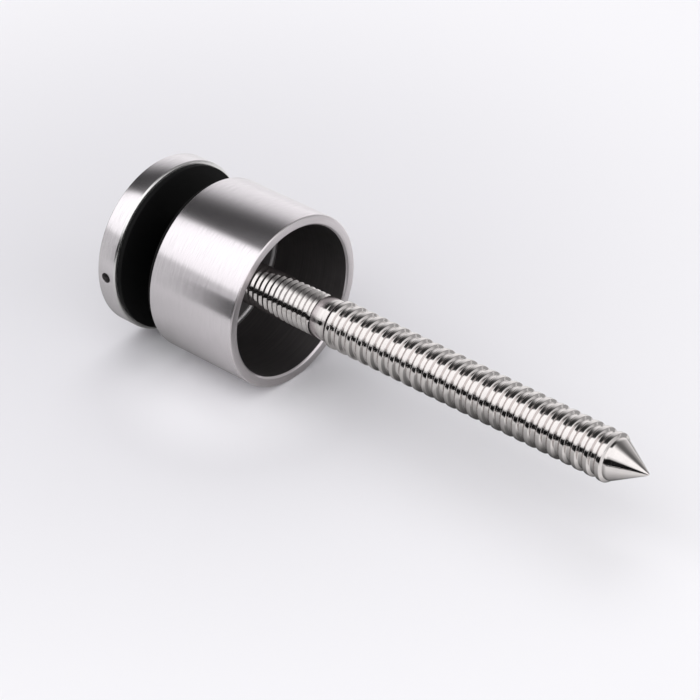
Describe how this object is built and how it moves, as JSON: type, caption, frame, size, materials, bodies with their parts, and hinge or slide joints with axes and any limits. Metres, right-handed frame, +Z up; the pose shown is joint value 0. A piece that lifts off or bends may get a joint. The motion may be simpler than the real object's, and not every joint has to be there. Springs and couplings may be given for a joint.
{
  "type": "glass panel standoff",
  "caption": "Round point fixing for a glass panel: a hollow turned barrel on a ribbed anchor bolt, and a disc cap that clamps the glass between rubber washers.",
  "frame": {"origin": "centre of the barrel's open rear rim, in the wall plane", "axes": "+X along the standoff's axis into the wall, +Z up as it is fixed and as it lies"},
  "size_m": [0.1687, 0.05, 0.05],
  "materials": {
    "brushed_cap": "turned and brushed round the rim",
    "brushed_barrel": "brushed round the barrel, turned end faces",
    "bright_bolt": "bright rolled thread and ribs",
    "washer_rubber": "smooth black EPDM",
    "bush_plastic": "turned black nylon"
  },
  "bodies": {
    "bolt": {"anchor_bolt": "bright_bolt"},
    "front_seat": {"barrel_washer": "washer_rubber", "glass_bush": "bush_plastic"},
    "barrel_body": {"barrel": "brushed_barrel"},
    "cap_seat": {"cap_washer": "washer_rubber"},
    "cap_body": {"end_cap": "brushed_cap"}
  },
  "joints": [
    {"name": "barrel_feed", "type": "slide", "parent": "bolt", "child": "front_seat", "axis": [1, 0, 0], "range_m": [0, 0.035]},
    {"name": "barrel_turn", "type": "hinge", "parent": "front_seat", "child": "barrel_body", "pos_m": [0, 0, 0], "axis": [1, 0, 0], "range_deg": [0, 7200]},
    {"name": "cap_feed", "type": "slide", "parent": "bolt", "child": "cap_seat", "axis": [1, 0, 0], "range_m": [-0.00438, 0.00029]},
    {"name": "cap_turn", "type": "hinge", "parent": "cap_seat", "child": "cap_body", "pos_m": [-0.0465, 0, 0], "axis": [1, 0, 0], "range_deg": [-900, 60]}
  ],
  "couplings": [
    {"joint": "barrel_feed", "follows": "barrel_turn", "m_per_rad": 0.00027852},
    {"joint": "cap_feed", "follows": "cap_turn", "m_per_rad": 0.00027852}
  ]
}
